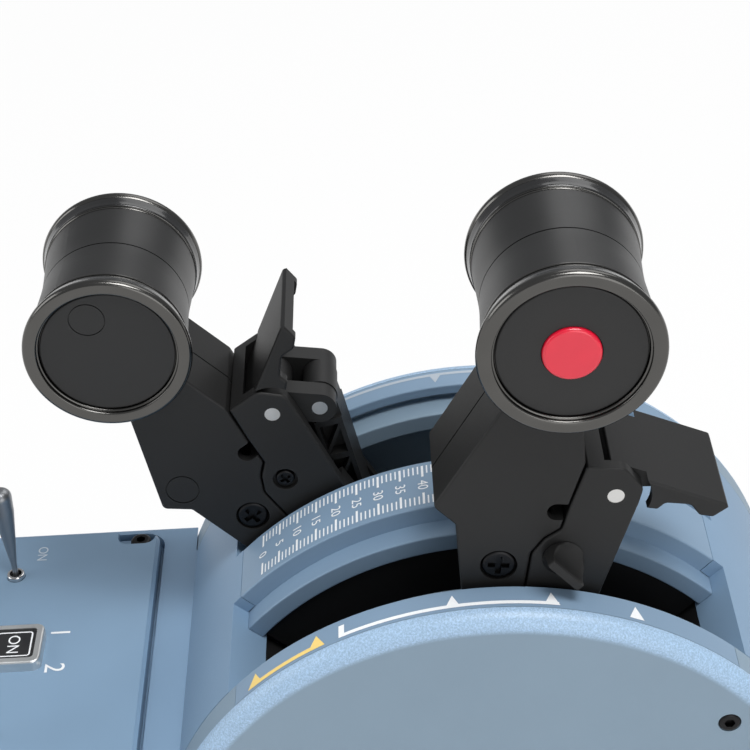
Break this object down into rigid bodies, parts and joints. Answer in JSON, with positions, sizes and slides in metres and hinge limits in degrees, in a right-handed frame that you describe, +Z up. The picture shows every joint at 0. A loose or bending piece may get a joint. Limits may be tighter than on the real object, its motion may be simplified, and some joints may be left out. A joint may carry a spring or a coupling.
{
  "type": "throttle quadrant",
  "caption": "Desk throttle quadrant: two thrust levers with barrel grips and lift-up reverse paddles on a round drum with a degree scale, and a switch panel.",
  "frame": {"origin": "centre of the four desk-mount holes, on the underside of the bottom plate; the rubber feet reach 2 mm below it", "axes": "+X to the pilot's right, +Y forward, away from the pilot, +Z up"},
  "size_m": [0.1008, 0.242, 0.1992],
  "materials": {
    "housing_blue": "fine-grained satin moulding",
    "cheek_blue": "fine-grained satin moulding",
    "lever_black": "matt moulding",
    "grip_black": "satin moulding",
    "grip_chrome": "dark polished plating",
    "button_red": "gloss",
    "pin_steel": "turned",
    "screw_black": "black oxide",
    "inner_steel": "plain",
    "inner_black": "matt moulding",
    "bronze": "sintered",
    "magnet": "plated",
    "friction": "plain",
    "foot_rubber": "plain",
    "plate_blue": "satin",
    "bezel_grey": "satin",
    "square_black": "gloss",
    "toggle_chrome": "polished",
    "knob_grey": "satin",
    "board_green": "lacquered",
    "socket_steel": "plain"
  },
  "bodies": {
    "base": {"bearing_plates": "inner_steel", "bottom_plate": "plate_blue", "centre_pedestal": "inner_black", "cheek_left": "cheek_blue", "cheek_right": "cheek_blue", "control_panel": "plate_blue", "detent_sectors": "inner_steel", "friction_washers": "friction", "housing_screws": "screw_black", "lever_shaft": "inner_steel", "main_board": "board_green", "main_housing": "housing_blue", "panel_screws": "screw_black", "rim_strips": "housing_blue", "rubber_feet": "foot_rubber", "scale_rib": "housing_blue", "selector_switch": "inner_black", "sensor_boards": "board_green", "slot_guards": "inner_black", "square_button_bezel": "bezel_grey", "toggle_switches": "toggle_chrome", "usb_socket": "socket_steel"},
    "lever_right": {"lever_spine_right": "inner_black", "lever_covers_right": "lever_black", "paddle_carrier_right": "lever_black", "hub_bush_right": "bronze", "hub_magnet_right": "magnet", "detent_roller_right": "inner_steel", "lever_screws_right": "screw_black", "paddle_pivot_pin_right": "pin_steel", "grip_barrel_right": "grip_black", "grip_rings_right": "grip_chrome", "grip_caps_right": "grip_black"},
    "paddle_right": {"reverse_paddle_right": "lever_black"},
    "strut_right": {"lift_strut_right": "lever_black", "strut_pins_right": "pin_steel"},
    "grip_button_right": {"grip_button_right": "button_red"},
    "latch_right": {"latch_knob_right": "lever_black"},
    "toggle_right": {"toggle_bat_right": "toggle_chrome"},
    "lever_left": {"lever_spine_left": "inner_black", "lever_covers_left": "lever_black", "paddle_carrier_left": "lever_black", "hub_bush_left": "bronze", "hub_magnet_left": "magnet", "detent_roller_left": "inner_steel", "lever_screws_left": "screw_black", "paddle_pivot_pin_left": "pin_steel", "grip_barrel_left": "grip_black", "grip_rings_left": "grip_chrome", "grip_caps_left": "grip_black"},
    "paddle_left": {"reverse_paddle_left": "lever_black"},
    "strut_left": {"lift_strut_left": "lever_black", "strut_pins_left": "pin_steel"},
    "grip_button_left": {"grip_button_left": "button_red"},
    "latch_left": {"latch_knob_left": "lever_black"},
    "toggle_left": {"toggle_bat_left": "toggle_chrome"},
    "selector": {"selector_knob": "knob_grey"},
    "square_button": {"square_button": "square_black"}
  },
  "joints": [
    {"name": "lever_right_swing", "type": "hinge", "parent": "base", "child": "lever_right", "pos_m": [0.0242, 0.041, 0.034], "axis": [-1, 0, 0], "range_deg": [-43.1, 22.2]},
    {"name": "paddle_right_lift", "type": "hinge", "parent": "lever_right", "child": "paddle_right", "pos_m": [0.0242, 0.06287, 0.13698], "axis": [1, 0, 0], "range_deg": [0, 48], "stiffness_Nm_per_rad": 0.02, "springref_deg": -17.19},
    {"name": "strut_right_lean", "type": "hinge", "parent": "paddle_right", "child": "strut_right", "pos_m": [0.0242, 0.06213, 0.1258], "axis": [1, 0, 0], "range_deg": [-61.14, 0.2]},
    {"name": "grip_button_right_press", "type": "slide", "parent": "lever_right", "child": "grip_button_right", "axis": [-1, 0, 0], "range_m": [0, 0.0015], "stiffness_N_per_m": 400},
    {"name": "latch_right_turn", "type": "hinge", "parent": "lever_right", "child": "latch_right", "pos_m": [0.0376, 0.05199, 0.12106], "axis": [1, 0, 0], "range_deg": [-60, 30]},
    {"name": "toggle_right_flip", "type": "hinge", "parent": "base", "child": "toggle_right", "pos_m": [0.0295, -0.08088, 0.06035], "axis": [-1, 0, 0], "range_deg": [-12, 12]},
    {"name": "lever_left_swing", "type": "hinge", "parent": "base", "child": "lever_left", "pos_m": [-0.0242, 0.041, 0.034], "axis": [-1, 0, 0], "range_deg": [-1, 64.3]},
    {"name": "paddle_left_lift", "type": "hinge", "parent": "lever_left", "child": "paddle_left", "pos_m": [-0.0242, -0.01181, 0.12507], "axis": [1, 0, 0], "range_deg": [-48, 0]},
    {"name": "strut_left_lean", "type": "hinge", "parent": "paddle_left", "child": "strut_left", "pos_m": [-0.0242, -0.00063, 0.12435], "axis": [1, 0, 0], "range_deg": [-0.2, 61.14]},
    {"name": "grip_button_left_press", "type": "slide", "parent": "lever_left", "child": "grip_button_left", "axis": [1, 0, 0], "range_m": [0, 0.0015], "stiffness_N_per_m": 400},
    {"name": "latch_left_turn", "type": "hinge", "parent": "lever_left", "child": "latch_left", "pos_m": [-0.0376, -0.00921, 0.10597], "axis": [1, 0, 0], "range_deg": [-60, 30]},
    {"name": "toggle_left_flip", "type": "hinge", "parent": "base", "child": "toggle_left", "pos_m": [-0.0295, -0.08088, 0.06035], "axis": [-1, 0, 0], "range_deg": [-12, 12]},
    {"name": "selector_turn", "type": "hinge", "parent": "base", "child": "selector", "pos_m": [0, -0.09909, 0.05997], "axis": [0, -0.0541, 0.9985], "range_deg": [-45, 45]},
    {"name": "square_button_press", "type": "slide", "parent": "base", "child": "square_button", "axis": [0, 0.0541, -0.9985], "range_m": [0, 0.0012], "stiffness_N_per_m": 400}
  ],
  "couplings": [
    {"joint": "strut_right_lean", "follows": "paddle_right_lift", "ratio": -1.2696},
    {"joint": "strut_left_lean", "follows": "paddle_left_lift", "ratio": -1.2696}
  ]
}
